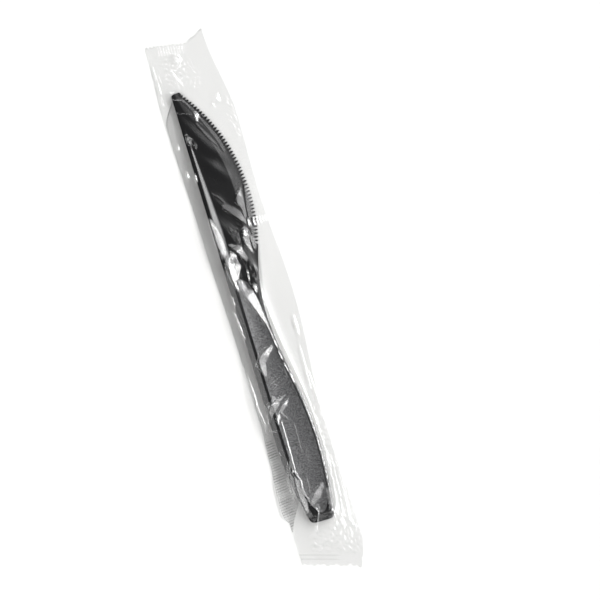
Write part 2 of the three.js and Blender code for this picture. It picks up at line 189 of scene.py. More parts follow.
CREASES = [
    ([(0.3, 2.9, 0.8), (3.5, 3.9, 1.1), (5.6, 7, 1.1), (6.8, 10.5, 0.8)], 23),
    (
        [
            (0.8, 3.3, 0.8), (3.5, 4.2, 1.1), (5.7, 7.3, 1.3), (7.6, 11.3, 1.3),
            (10.2, 16.9, 1.5), (12.6, 23.3, 1.7), (14.1, 28.6, 1.3),
        ],
        19,
    ),
    ([(0.5, 8.8, 0.8), (4.4, 10.3, 0.9), (9.9, 12.4, 0.8)], 22),
    ([(6.9, 11.1, 2.1), (6.9, 12.2, 2.7), (6.9, 13.5, 1.3)], 29.5),
    ([(8, 14.6, 0.8), (11.7, 21, 1), (13.8, 26.3, 0.8)], 24),
    ([(6.4, 14.7, 0.8), (9.6, 21.6, 1), (12.6, 26.2, 0.8)], 21),
    ([(1, 19.2, 1.7), (1.2, 20.7, 2.9), (1.6, 22.4, 1.7)], 16),
    ([(3.1, 22.6, 1.7), (3.2, 24.2, 1.5), (3.3, 25.3, 0.4)], 17),
    ([(-3.7, 21.5, 1), (-3.7, 23, 1)], 29.5),
    ([(-3.3, 33.5, 1.1), (-3.3, 35.1, 1.3)], 29.5),
    ([(-0.3, 35.5, 1.1), (-0.3, 37.3, 1.1)], 29.5),
    ([(4.2, 44.7, 0.9), (6.6, 47, 1), (8.3, 49.7, 0.8)], 20),
    ([(7.1, 51.3, 2.1), (9.4, 54.3, 3.3), (11.9, 57.5, 3.5), (14.3, 60.4, 2.5)], 23),
    (
        [
            (15.6, 46, 1.3), (14.1, 48.1, 2.9), (13.2, 50.9, 3.3),
            (14.4, 53.5, 2.5), (14.6, 57.9, 1.7), (14.5, 61.8, 0.8),
        ],
        23,
    ),
    (
        [
            (18.1, 45, 1.3), (17.5, 49.2, 2.1), (16.7, 53.7, 2.1),
            (16.2, 58.4, 2.1), (15.7, 63, 2.1), (15.4, 66, 1.3),
        ],
        22,
    ),
    ([(15.4, 58.7, 1.9), (15.1, 61.3, 2.3)], 29.5),
    ([(17.5, 59, 1.4), (17.4, 61.6, 1.4)], 29.5),
    ([(19, 59.2, 1.3), (18.9, 61.6, 1.3)], 29),
    ([(20.3, 59.4, 1.3), (20.2, 61.5, 1.3)], 28.5),
    ([(21.6, 59.6, 1.2), (21.5, 61.3, 1.2)], 27.5),
    ([(22.7, 59.7, 1.1), (22.6, 61.2, 1.1)], 26.5),
    ([(12.6, 62.3, 2.5), (11.7, 64.8, 4.6), (11.7, 68.3, 4.2), (13.1, 72.4, 1.3)], 24.6),
    ([(14.7, 64, 1.3), (14.4, 67.4, 2.1), (14.4, 70.9, 1.7)], 25),
    ([(0.2, 55.3, 1.3), (0.4, 59.7, 2.5), (0.4, 64.5, 3.1), (0.7, 69.6, 2.9)], 27.1),
    ([(3.7, 71.8, 3.3), (2.5, 74.3, 5.4), (2, 78, 5), (2.3, 82, 2.9), (2.8, 85.7, 1.3)], 29.5),
    ([(5.6, 68.2, 2.1), (7.1, 70.4, 3.3), (9.1, 74.1, 2.1)], 25),
    ([(4.2, 83, 2.1), (4.8, 85.4, 2.5), (5.9, 88.8, 1.7)], 26),
    ([(8.8, 79.2, 1), (8.8, 80.9, 1.3), (8.6, 83.1, 0.8)], 26),
    ([(9.7, 86.2, 1.7), (9.9, 87.8, 1.7), (10, 89.1, 0.8)], 29),
    ([(5.8, 89.9, 4.2), (7.2, 94, 3.5), (8.8, 98.8, 2.3), (10.3, 103.2, 1.3)], 28),
    ([(-0.1, 88.5, 0.8), (0, 91.7, 0.9)], 29.5),
    ([(-1.2, 94.7, 0.8), (-0.6, 100.5, 1), (-0.1, 106.3, 0.8)], 29.5),
    ([(3.3, 108.5, 0.8), (8.3, 108.5, 1), (11.3, 108.5, 0.8)], 22),
    ([(10.8, 111.8, 0.6), (7.4, 112.8, 2.1)], 35.5),
    ([(7.4, 112.8, 2.5), (4.8, 114.2, 2.9)], 33.5),
    ([(4.8, 114.2, 3.5), (3.2, 116, 2.9)], 29),
    ([(3.2, 116, 3.4), (2.7, 119.2, 3.1), (3.6, 123.2, 1.3)], 25.3),
    ([(5.8, 118.6, 0.8), (12.5, 121.2, 0.8)], 21),
    ([(6.1, 121.8, 0.8), (12.5, 121.9, 0.8)], 21),
    ([(4.2, 126.2, 0.8), (12.4, 122.8, 0.8)], 21),
    ([(2.9, 128.2, 0.8), (12.3, 124.1, 0.8)], 21),
    ([(3.8, 130.6, 0.8), (12.3, 125.4, 0.8)], 21),
    ([(9.1, 133.1, 0.6), (2.7, 135, 2.9)], 35.5),
    ([(2.6, 135.2, 3.8), (0.8, 138.4, 2.5)], 26.8),
    ([(10.4, 134.8, 0.6), (7.2, 136.6, 2.3)], 29.5),
    ([(7.2, 136.6, 2.3), (4.4, 139.3, 1.5)], 29),
    ([(4.2, 140.1, 1.3), (3.2, 142, 1.7), (3, 144.1, 0.8)], 29),
    ([(5.2, 139.7, 0.8), (7.1, 142.7, 0.8)], 29),
    ([(4.6, 143.5, 0.8), (4.4, 154.3, 0.9), (4.1, 164.7, 0.8)], 29.5),
    ([(3.9, 165.3, 0.8), (5.1, 169.4, 0.9), (4.7, 174.9, 0.8), (7.2, 180, 0.8)], 29),
    ([(3, 159.8, 1.3), (1.8, 163.8, 3.3), (0.7, 169.5, 3.8), (0.5, 174.7, 1.7)], 20),
    ([(3.2, 167.2, 1.3), (2.8, 171.4, 2.9), (2.8, 176.3, 3.3), (3.6, 181.7, 1.7)], 25),
    ([(11.7, 173.7, 2.5), (8.8, 175.9, 3.8), (6.7, 178.7, 2.5)], 25),
    ([(14.3, 175.8, 1.5), (13.9, 180, 1.5), (13.1, 184.1, 0.8)], 21),
    ([(8.4, 184, 0.8), (6.9, 187.5, 0.9), (5.4, 190.9, 0.8)], 29.5),
    ([(9.4, 146, 0.8), (9, 158.1, 0.8)], 19),
    ([(7.9, 169.5, 0.8), (7.4, 175, 0.8)], 19),
    ([(-3.8, 118.1, 0.8), (-3.1, 129.6, 1), (-3.1, 136.1, 1), (-2.1, 144.7, 0.9)], 29.5),
    ([(1.1, 140.5, 0.8), (-2.1, 144.8, 1)], 29.5),
    ([(-1.6, 145.3, 0.8), (2.2, 147.1, 0.8)], 22),
    ([(10.4, 102.8, 0.9), (10.6, 105, 1)], 29.5),
    ([(10.8, 105.9, 0.8), (11.1, 109.1, 1)], 29.5),
    ([(11.2, 110.4, 1.1), (11.7, 113.2, 0.9)], 29.5),
    ([(11.8, 114.9, 0.8), (12.2, 118.6, 1)], 29.5),
    ([(12.6, 120.9, 0.9), (13.2, 124.1, 0.8)], 29.5),
    ([(13.6, 125.5, 1), (14.2, 129.2, 0.9)], 29.5),
    ([(16.4, 158.6, 1), (16.8, 161.7, 1.3), (16.9, 163.5, 0.4)], 29.5),
    ([(22.2, 102.8, 1), (22.1, 106.7, 1.3), (22, 110.6, 0.8)], 29.5),
    ([(21, 115.5, 0.8), (20.7, 125, 1), (20.3, 133.6, 0.8)], 26),
    ([(21.4, 127, 0.8), (22.4, 156.9, 1.5), (20.8, 182.5, 1.3), (19.9, 191, 0.8)], 29.5),
    ([(23.8, 136.4, 0.8), (24.5, 160.1, 1)], 29.5),
    ([(20.2, 162.8, 0.8), (19.2, 177.7, 1), (18.1, 187, 0.8)], 29.5),
    ([(-4, -13, 0.6), (-4.1, -7.8, 0.8)], 29.5),
    ([(-3.9, -6.1, 0.7), (-4, -1.7, 0.8)], 29),
    ([(-4.2, -0.1, 0.6), (-4.3, 3.8, 0.7)], 28.5),
    ([(-2.8, -10.5, 0.6), (-2.6, -6.1, 0.7)], 26),
    ([(6.2, -14.3, 2.5), (6.3, -12.6, 2.9), (6.4, -10.8, 1.3)], 29.5),
    ([(19, 4.6, 0.5), (18.3, 5.9, 1.4), (17.6, 7, 2.3)], 29.5),
    ([(2.8, -9.3, 0.8), (5.5, -2.2, 0.9)], 29.5),
    ([(15.4, 8.5, 0.8), (15.7, 10.3, 0.8)], 29.5),
]
CREASE_BACK = 0.2
CREASE_LEAST = 0.1
CREASE_SPARE = 0.3
SOFTENING = 30

# Places crumpled into small facets: centre, reach across and along, facet size and slope in degrees
CRUMPLES = [
    (17, 196, 8, 13, 1.5, 32),
    (6, 197.5, 6, 7, 1.8, 27),
    (20.5, 160, 2.6, 36, 2.2, 20),
    (3.5, -10, 7.5, 11, 1.4, 29),
    (11, -6, 4.5, 9, 1.3, 27),
    (21.6, 16, 2.4, 12, 1.3, 25),
    (10, 81, 3, 7, 1.7, 16),
    (4.6, 78, 3.4, 9, 1.3, 7),
    (9.5, 64, 4.5, 7, 1.3, 9),
    (9, 126, 5, 7, 1.5, 10),
    (4, 165.2, 1.8, 2.4, 1.2, 34),
    (8.3, 182.4, 1.8, 2.2, 1.2, 34),
    (1.4, 156, 1.4, 1.8, 1.1, 34),
]
CRUMPLE_STRETCH = 2.6
CRUMPLE_STAGGER = 0.3
CRUMPLE_FULL = 0.8

# Fin seal on the back: where it leaves the film, its free edge, its two layers and its crimp
FIN_SEAM = [(174, 3.0), (190, -3.7)]
FIN_EDGE = [
    (-20, 2.6), (-4, 2.6), (13, -5.6), (60, -4.8), (112, -3.8), (140, -3.8),
    (160, -4.8), (172, -6.0), (181, -6.1), (186, -4.2), (205, -3.8),
]
FIN_START = 1
FIN_END = 189
FIN_COLUMNS = 7
FIN_ROWS = 1020
FIN_LIFT = 0.015
FIN_LAYER = 0.03
FIN_CURL = 0.5
FIN_CURLS = (-3.6, -6.2)
FIN_SHOWS = (142, 152)
FIN_RIBS = 0.26
FIN_RIBS_SLANT = 0.12
CRIMP_HIDDEN = 0.2
CRIMP_MEAN = 0.7
CRIMP_SWING = 0.3
CRIMP_RATES = (0.9, 0.37)

# Sleeve over the crimped fin: how far it is lifted, and the station whose fin height its back takes
OVER_FIN = 0.3
OVER_FIN_GROWS = (136, 146)
OVER_FIN_SIDES = (2, -2)
OVER_FIN_STATION = 150

# Stage: half the floor, and the glow of the wall behind the soft box by degrees above the table
FLOOR_HALF = 2.0
GLOW_RISES = (84, 29)
GLOW_FOOT = (14, 28)
GLOW_CURVE = 2.5


def mix(a, b, t):
    return a + (b - a) * t


def ramp(start, end, x):
    return np.clip((x - start) / (end - start), 0, 1)


def ease(start, end, x):
    t = ramp(start, end, x)
    return t * t * (3 - 2 * t)


def through(knots, at):
    """A smooth curve through given knots, level past both ends."""
    places, values = np.array(knots, float).T
    right = np.clip(np.searchsorted(places, at, side="right"), 1, len(places) - 1)
    return mix(values[right - 1], values[right], ease(places[right - 1], places[right], at))


def uneven(rates, s):
    """An uneven wave between -1 and 1: two plain waves of different rates, multiplied."""
    return np.sin(rates[0] * s) * np.sin(rates[1] * s)


def saw(x, pitch):
    """Triangle wave from 0 to 1."""
    return np.abs((x / pitch) % 1 - 0.5) * 2


def linear(colour):
    """An sRGB hex colour as linear red, green and blue."""
    shares = [int(colour[i : i + 2], 16) / 255 for i in (1, 3, 5)]
    return tuple(c / 12.92 if c <= 0.04045 else ((c + 0.055) / 1.055) ** 2.4 for c in shares)


def millimetres(settings):
    """The lengths of a property group, in millimetres, under their own names."""
    lengths = [p.identifier for p in settings.bl_rna.properties if getattr(p, "unit", "") == "LENGTH"]
    return SimpleNamespace(**{name: getattr(settings, name) / MM for name in lengths})


# Shape of the knife


def spine_at(k, s):
    return BUTT_INSET * ramp(SPINE_STRAIGHT, k.length, s) ** 2


def edge_at(k, s):
    """Distance of the edge from the spine line: belly, heel, waisted neck, handle and tapered butt."""
    belly = mix(TIP_WIDTH, k.belly_width, 1 - (1 - ramp(0, BELLY_AT, s)) ** BELLY_FULLNESS)
    heel = mix(k.belly_width, HEEL_WIDTH, ramp(BELLY_AT, BLADE_LENGTH, s) ** 2)
    t = ramp(BLADE_LENGTH, NECK_AT, s)
    slope = 2 * (HEEL_WIDTH - k.belly_width) / (BLADE_LENGTH - BELLY_AT)
    lead = slope * (NECK_AT - BLADE_LENGTH) * t * (1 - t) ** 2
    neck = mix(HEEL_WIDTH, k.neck_width, ease(0, 1, t)) + lead
    handle = mix(k.neck_width, k.handle_width, ease(NECK_AT, HANDLE_AT, s))
    butt = mix(k.handle_width, BUTT_INSET + BUTT_WIDTH, ramp(HANDLE_AT, k.length, s) ** 2)
    places = [s <= BELLY_AT, s <= BLADE_LENGTH, s <= NECK_AT, s <= HANDLE_AT]
    return np.select(places, [belly, heel, neck, handle], butt)


def section(k, s):
    """Places and heights of the spine, crest, facet foot, rim, tooth root and edge at each station."""
    left, right = spine_at(k, s), edge_at(k, s)
    handle = ease(BLADE_LENGTH, PANEL_START, s)
    bevel = mix(EDGE_BEVEL, EDGE_FLANK, handle)
    flank = mix(BLADE_FLANK, SPINE_FLANK, handle)
    fit = np.minimum(1, (right - left) / (flank + bevel + CREST_RUN))
    end = ramp(k.length, PANEL_END, s)
    face = mix(FACE_TIP, FACE_NECK, ramp(0, PANEL_START, s))
    crest = mix(face, k.crest_height, ramp(CREST_START, CREST_FULL, s))
    rim = mix(face, k.rim_height, ease(PANEL_START, PANEL_START + RIM_RISE, s))
    crest_x, rim_x = left + flank * fit, right - bevel * fit
    grip = ease(PANEL_START - CREST_RUN, PANEL_START + PANEL_NOSE / 2, s)
    foot_x = mix(crest_x + (crest - face) * CREST_RUN, (crest_x + rim_x) / 2, grip)
    foot_z = mix(face, (crest + rim) / 2, grip)
    root_x = right - mix(k.tooth_depth, EDGE_LAND, handle) * fit
    places = [left, crest_x, np.minimum(foot_x, rim_x - fit), rim_x, root_x, right]
    heights = [mix(SIDE_HEIGHT, z, end) for z in (crest, foot_z, rim)]
    sides = [mix(z, SIDE_HEIGHT, handle) for z in (crest - SIDE_STEP * fit, mix(face, EDGE_HEIGHT, fit))]
    return np.stack(places), np.stack([sides[0], *heights, sides[1], sides[1]])


def upper_face(k, x, s):
    """Height of the knife's upper face, before the panel is dished, at places given by two equal arrays."""
    places, heights = section(k, s)
    z = np.broadcast_to(heights[0], x.shape).copy()
    for i in range(len(places) - 1):
        t = np.clip((x - places[i]) / np.maximum(places[i + 1] - places[i], TINY), 0, 1)
        z = np.where(x > places[i], mix(heights[i], heights[i + 1], t), z)
    return z


def softened(k, x, s):
    """The upper face with its creases rounded off as a mould leaves them."""
    taps = [upper_face(k, x + shift * CORNER, s) for shift in (-1, 0, 1)]
    return (taps[0] + 2 * taps[1] + taps[2]) / 4


def rounded(start, end, s):
    """Quarter-round growth from 0 to 1, as the outline of a rounded end."""
    return np.sqrt(1 - (1 - ramp(start, end, s)) ** 2)


def panel_sides(k, s):
    """Left and right side of the dished panel, and its share of its full width."""
    places, _ = section(k, s)
    low, high = places[1] + PANEL_RIM, places[3] - PANEL_EDGE_RIM
    middle = np.where(s < HANDLE_AT, low + PANEL_NOSE_IN, (low + high) / 2)
    tail = rounded(PANEL_END, PANEL_END - PANEL_TAIL, s)
    left = mix(middle, low, np.minimum(tail, rounded(PANEL_START, PANEL_START + PANEL_SHOULDER, s)))
    right = mix(middle, high, np.minimum(tail, rounded(PANEL_START, PANEL_START + PANEL_NOSE, s)))
    return left, right, (right - left) / (high - low)


def toothed_edge(k):
    """The outline's points down the edge, the points at the teeth's root beside them, and their stations."""
    fine = np.linspace(0, BLADE_LENGTH, EDGE_SAMPLES)
    x = edge_at(k, fine)
    along = np.concatenate([[0], np.cumsum(np.hypot(np.diff(x), np.diff(fine)))])
    slope = np.gradient(x, fine)
    half_back = (TOOTH_RAKE + TOOTH_LAND + k.tooth_pitch - TOOTH_GULLET) / 2
    corners = [
        (0, k.tooth_depth),
        (TOOTH_RAKE, 0),
        (TOOTH_RAKE + TOOTH_LAND, 0),
        (half_back, k.tooth_depth / 2),
        (k.tooth_pitch - TOOTH_GULLET, k.tooth_depth),
    ]
    teeth = np.arange(1, int((along[-1] - k.tooth_pitch) / k.tooth_pitch) + 1)
    steps = [(tooth * k.tooth_pitch + step, depth) for tooth in teeth for step, depth in corners]
    places, depths = np.array(steps).T
    s = np.interp(places, along, fine)
    turn = np.interp(s, fine, slope)
    inward = np.stack([-np.ones(len(s)), turn], 1) / np.hypot(1, turn)[:, None]
    edge = np.stack([edge_at(k, s), s], 1)
    tip = np.array(TIP_STATIONS)
    tip_points = np.stack([edge_at(k, tip), tip], 1)
    end = k.length - BUTT_ROUND
    round_end = k.length - BUTT_ROUND * np.linspace(1, 0, BUTT_STATIONS) ** 2
    rest = np.concatenate([np.arange(BLADE_LENGTH, end, HANDLE_STEP), round_end])
    t = 1 - np.sqrt(np.clip(1 - (rest - end) / BUTT_ROUND, 0, 1))
    rest_points = np.stack([edge_at(k, rest) - np.where(rest > end, BUTT_ROUND * t**2, 0), rest], 1)
    outline = np.concatenate([tip_points, edge + depths[:, None] * inward, rest_points])
    land = np.array([EDGE_LAND, 0])
    root = np.concatenate([tip_points - land, edge + k.tooth_depth * inward, rest_points - land])
    return outline, root, np.concatenate([tip, s, rest])


def spine_side(k, s):
    """Left side of the outline, with the rounded tip and the rounded corner of the butt."""
    tip = TIP_WIDTH * (1 - np.sqrt(np.clip(s / TIP_ROUND, 0, 1))) ** 2
    t = 1 - np.sqrt(np.clip(1 - (s - k.length + BUTT_ROUND) / BUTT_ROUND, 0, 1))
    corner = np.where(s > k.length - BUTT_ROUND, BUTT_ROUND * t**2, 0)
    return spine_at(k, s) + tip + corner


def knife_rings(k):
    """Closed rings of points round the knife, station by station, and which top columns are in the panel."""
    edge, root, s = toothed_edge(k)
    left = spine_side(k, s)
    places, _ = section(k, s)
    inside = (s > PANEL_START) & (s < PANEL_END)
    panel_left, panel_right, share = panel_sides(k, np.clip(s, PANEL_START, PANEL_END))
    half_face = (places[3] - places[2]) / 2 * ramp(PANEL_START, BLADE_LENGTH, s)
    blade_right = places[2] + np.maximum(FACE_LEAST, half_face)
    from_x = np.where(s < PANEL_START, places[2], panel_left)
    to_x = np.where(s < PANEL_START, blade_right, panel_right)
    wall = np.minimum(PANEL_WALL, (to_x - from_x) / 3)
    spans = [
        (left, places[1] - CORNER, 4),
        (places[1] - CORNER, places[1] + CORNER, 3),
        (places[1] + CORNER, from_x, 5),
        (from_x, from_x + wall, 1),
        (from_x + wall, to_x - wall, 16),
        (to_x - wall, to_x, 1),
        (to_x, places[3] - CORNER, 6),
        (places[3] - CORNER, places[3] + CORNER, 3),
        (places[3] + CORNER, root[:, 0], 3),
        (root[:, 0], edge[:, 0], 3),
    ]
    columns = [left]
    for start, end, count in spans:
        columns += [mix(start, end, (i + 1) / count) for i in range(count)]
    x = np.maximum.accumulate(np.stack(columns, 1), axis=1)
    x = np.minimum(x, edge[:, :1])
    station = mix(s[:, None], root[:, 1:], ramp(left[:, None], root[:, :1], x) ** 2)
    station = mix(station, edge[:, 1:], ramp(root[:, :1], edge[:, :1] + TINY, x))
    z = softened(k, x, station)
    t = ramp(from_x[:, None], to_x[:, None] + TINY, x)
    sunk = ramp(0, wall[:, None], x - from_x[:, None]) * ramp(0, wall[:, None], to_x[:, None] - x)
    dish = PANEL_STEP * sunk + k.panel_dish * share[:, None] * 4 * t * (1 - t)
    z = z - np.where(inside[:, None], dish, 0)
    top = np.stack([x, station, z], 2)
    under = np.stack(
        [
            np.stack([edge[:, 0], edge[:, 1], 0 * s + FOOT], 1),
            np.stack([np.maximum(edge[:, 0] - FOOT, left), edge[:, 1], 0 * s], 1),
            np.stack([np.minimum(left + FOOT, edge[:, 0]), s, 0 * s], 1),
            np.stack([left, s, 0 * s + FOOT], 1),
        ],
        1,
    )
    first = sum(count for _, _, count in spans[:4])
    return np.concatenate([top, under], 1), inside, range(first, first + spans[4][2])


# Meshes


def to_frame(points, lift=0.0):
    """Points in millimetres from the spine, the tip and the table, as points of the frame in metres."""
    x, s, z = np.moveaxis(np.asarray(points, float), -1, 0)
    return np.stack([KNIFE_LOW.x + x * MM, KNIFE_HIGH.y - s * MM, z * MM + lift], -1).reshape(-1, 3)


def ring_faces(rows, count, closed=True):
    """Quads between neighbouring rings of points, all the same way round."""
    r, c = np.meshgrid(np.arange(rows - 1), np.arange(count if closed else count - 1), indexing="ij")
    after = (c + 1) % count
    quads = np.stack([r * count + c, r * count + after, (r + 1) * count + after, (r + 1) * count + c], -1)
    return quads.reshape(-1, 4)


def make_piece(name, points, faces, materials, finish=None, sharp=None):
    """One mesh object that faces outwards, smooth except at edges sharper than the given angle."""
    mesh = bpy.data.meshes.new(name)
    mesh.from_pydata(points.tolist(), [], [list(map(int, face)) for face in faces])
    for material in materials:
        mesh.materials.append(material)
    if finish is not None:
        mesh.polygons.foreach_set("material_index", np.asarray(finish, np.int32))
    work = bmesh.new()
    work.from_mesh(mesh)
    bmesh.ops.recalc_face_normals(work, faces=work.faces)
    work.to_mesh(mesh)
    work.free()
    mesh.polygons.foreach_set("use_smooth", np.ones(len(mesh.polygons), bool))
    if sharp is not None:
        mesh.set_sharp_from_angle(angle=sharp)
    mesh.validate()
    piece = bpy.data.objects.new(name, mesh)
    bpy.context.scene.collection.objects.link(piece)
    return piece


# Finishes


def add(tree, kind, sockets=None, **settings):
    """Adds one node with its settings; a socket takes a value, an output, or a node's first output."""
    node = tree.nodes.new(kind)
    for name, value in settings.items():
        setattr(node, name, value)
    for name, value in (sockets or {}).items():
        feed = value.outputs[0] if isinstance(value, bpy.types.Node) else value
        if isinstance(feed, bpy.types.NodeSocket):
            tree.links.new(feed, node.inputs[name])
        else:
            node.inputs[name].default_value = feed
    return node


def new_material(name):
    """An empty node material and its tree."""
    material = bpy.data.materials.new(name)
    material.use_nodes = True
    material.node_tree.nodes.clear()
    return material, material.node_tree


def per(size):
    """Texture scale for a pattern of the given size in millimetres."""
    return 1 / (size * MM)


def polystyrene_polished(colour):
    """Polystyrene from a polished mould: deep black with a sharp gloss that swims a little along the flow."""
    material, tree = new_material("polystyrene_black_polished_mould")
    place = add(tree, "ShaderNodeTexCoord").outputs["Object"]
    flow = add(tree, "ShaderNodeTexNoise", {"Vector": place, "Scale": per(9)})
    peel = add(tree, "ShaderNodeTexNoise", {"Vector": place, "Scale": per(1.6), "Detail": 1.0})
    sockets = {
        "Base Color": (*colour, 1),
        "Roughness": add(tree, "ShaderNodeMapRange", {"Value": flow, "To Min": 0.22, "To Max": 0.3}),
        "IOR": 1.59,
        "Normal": add(tree, "ShaderNodeBump", {"Height": peel, "Strength": 0.05, "Distance": 0.1 * MM}),
    }
    plastic = add(tree, "ShaderNodeBsdfPrincipled", sockets)
    add(tree, "ShaderNodeOutputMaterial", {"Surface": plastic})
    return material


def polystyrene_stippled(colour):
    """Polystyrene from an etched mould: a fine even grain that turns the gloss to a soft grey sheen."""
    material, tree = new_material("polystyrene_black_etched_mould")
    place = add(tree, "ShaderNodeTexCoord").outputs["Object"]
    # the etch is about 0.3 mm and is drawn at 0.55 mm so that it shows at the render's 0.42 mm a pixel
    grain = add(tree, "ShaderNodeTexNoise", {"Vector": place, "Scale": per(0.55), "Roughness": 0.75})
    pits = {"Value": grain, "From Min": 0.4, "From Max": 0.6, "To Min": 0.15, "To Max": 1.95}
    fleck = add(tree, "ShaderNodeMapRange", pits)
    cloud = add(tree, "ShaderNodeTexNoise", {"Vector": place, "Scale": per(6)})
    sockets = {
        "Base Color": add(tree, "ShaderNodeVectorMath", {0: colour, "Scale": fleck}, operation="SCALE"),
        "Roughness": add(tree, "ShaderNodeMapRange", {"Value": cloud, "To Min": 0.42, "To Max": 0.52}),
        "IOR": 1.59,
        "Normal": add(tree, "ShaderNodeBump", {"Height": grain, "Strength": 0.8, "Distance": 0.2 * MM}),
    }
    plastic = add(tree, "ShaderNodeBsdfPrincipled", sockets)
    add(tree, "ShaderNodeOutputMaterial", {"Surface": plastic})
    return material


def polypropylene_film(colour, name, mirrored, passed, shaded_flank):
    """Cast polypropylene film: clear with a faint haze, and a mirror-like skin that flares seen aslant.

    A layer mirrors one share of the light that meets it square on, less where layers are welded with no air
    between them, and lets another share of the rest pass, less where they are crimped. Flanks that lean away
    from the tip let less through, down to a share of their own: painted shade on one side of each rib and
    crease.
    """
    material, tree = new_material(name)
    place = add(tree, "ShaderNodeTexCoord").outputs["Object"]
    drawn = add(tree, "ShaderNodeTexNoise", {"Vector": place, "Scale": per(2.2)})
    bump = add(tree, "ShaderNodeBump", {"Height": drawn, "Strength": 0.1, "Distance": 0.1 * MM})
    aslant = add(tree, "ShaderNodeLayerWeight", {"Blend": 0.5, "Normal": bump}).outputs["Facing"]
    flare = add(tree, "ShaderNodeMath", {0: aslant, 1: 5.0}, operation="POWER")
    # what a layer mirrors away reaches the table off the other layers: film shades only grazing light
    lamp = add(tree, "ShaderNodeLightPath").outputs["Is Shadow Ray"]
    least = add(tree, "ShaderNodeMapRange", {"Value": lamp, "To Min": mirrored, "To Max": 0.0})
    share = add(tree, "ShaderNodeMapRange", {"Value": flare, "To Min": least, "To Max": 1.0})
    # painted shade: where the normal leans away from the tip the film lets less through, down to a share of
    # its own, darkening one side of each rib and crease
    facing = add(tree, "ShaderNodeNewGeometry").outputs["Normal"]
    lean = add(tree, "ShaderNodeSeparateXYZ", {0: facing}).outputs["Y"]
    flank = {"Value": lean, "From Min": -0.35, "From Max": -0.1, "To Min": shaded_flank, "To Max": passed}
    clear = add(tree, "ShaderNodeBsdfTransparent", {"Color": add(tree, "ShaderNodeMapRange", flank)})
    haze = add(tree, "ShaderNodeBsdfDiffuse", {"Color": (*colour, 1)})
    body = add(tree, "ShaderNodeMixShader", {"Fac": 0.004, 1: clear, 2: haze})
    skin = add(tree, "ShaderNodeBsdfGlossy", {"Color": (1, 1, 1, 1), "Roughness": 0.2, "Normal": bump})
    film = add(tree, "ShaderNodeMixShader", {"Fac": share, 1: body, 2: skin})
    add(tree, "ShaderNodeOutputMaterial", {"Surface": film})
    return material


def paper_sweep(colour):
    """Matt white background paper: even, with a very faint tooth."""
    material, tree = new_material("paper_white_matt_sweep")
    place = add(tree, "ShaderNodeTexCoord").outputs["Object"]
    tooth = add(tree, "ShaderNodeTexNoise", {"Vector": place, "Scale": per(3)})
    sockets = {
        "Base Color": (*colour, 1),
        "Roughness": 0.9,
        "Specular IOR Level": 0.1,
        "Normal": add(tree, "ShaderNodeBump", {"Height": tooth, "Strength": 0.02, "Distance": 0.1 * MM}),
    }
    paper = add(tree, "ShaderNodeBsdfPrincipled", sockets)
    add(tree, "ShaderNodeOutputMaterial", {"Surface": paper})
    return material


# Shape of the film


def film_left(s):
    return -through(SPINE_MARGINS, s)


def film_right(k, s):
    """Folded side of the sleeve past the edge, ruffled beside the handle."""
    knife = mix(k.belly_width, k.handle_width, ease(BLADE_LENGTH, HANDLE_AT, s))
    return knife + through(EDGE_MARGINS, s) + RUFFLE * uneven(RUFFLE_RATES, s) * ease(*RUFFLE_GROWS, s)


def knife_relief(k, x, s):
    """Height of the knife above the table at each place, or 0 beside it."""
    station = np.clip(s, 0, k.length)
    on = (s >= 0) & (s <= k.length) & (x >= spine_at(k, station)) & (x <= edge_at(k, station))
    return np.where(on, upper_face(k, x, station) + KNIFE_LOW.z / MM, 0)


def neighbours_highest(z):
    """Each node's highest value among itself and the four beside it."""
    p = np.pad(z, 1, mode="edge")
    return np.maximum.reduce([z, p[:-2, 1:-1], p[2:, 1:-1], p[1:-1, :-2], p[1:-1, 2:]])


def pulled_taut(held, free, pull):
    """A membrane over what holds it up, settled by over-relaxation on alternate nodes."""
    z = held.copy()
    row, column = np.indices(z.shape)
    inner = (slice(1, -1), slice(1, -1))
    for _ in range(TAUT_ROUNDS):
        for parity in (0, 1):
            across = z[1:-1, :-2] + z[1:-1, 2:]
            along = z[:-2, 1:-1] + z[2:, 1:-1]
            goal = mix(z[inner], (across + pull * along) / (2 + 2 * pull), TAUT_STRIDE)
            moved = free[inner] & ((row + column)[inner] % 2 == parity)
            z[inner] = np.where(moved, np.maximum(goal, held[inner]), z[inner])
    return z


def sampled(k, z, x, s):
    """Height of the upper sheet at places between its nodes."""
    r = np.clip((s - FILM_TIP) / (FILM_BUTT - FILM_TIP) * FILM_ROWS, 0, FILM_ROWS - NODE_SHORT)
    c = np.clip(ramp(film_left(s), film_right(k, s), x) * TOP_COLUMNS, 0, TOP_COLUMNS - NODE_SHORT)
    i, j = r.astype(int), c.astype(int)
    near, far = (mix(z[i + step, j], z[i + step, j + 1], c - j) for step in (0, 1))
    return mix(near, far, r - i)


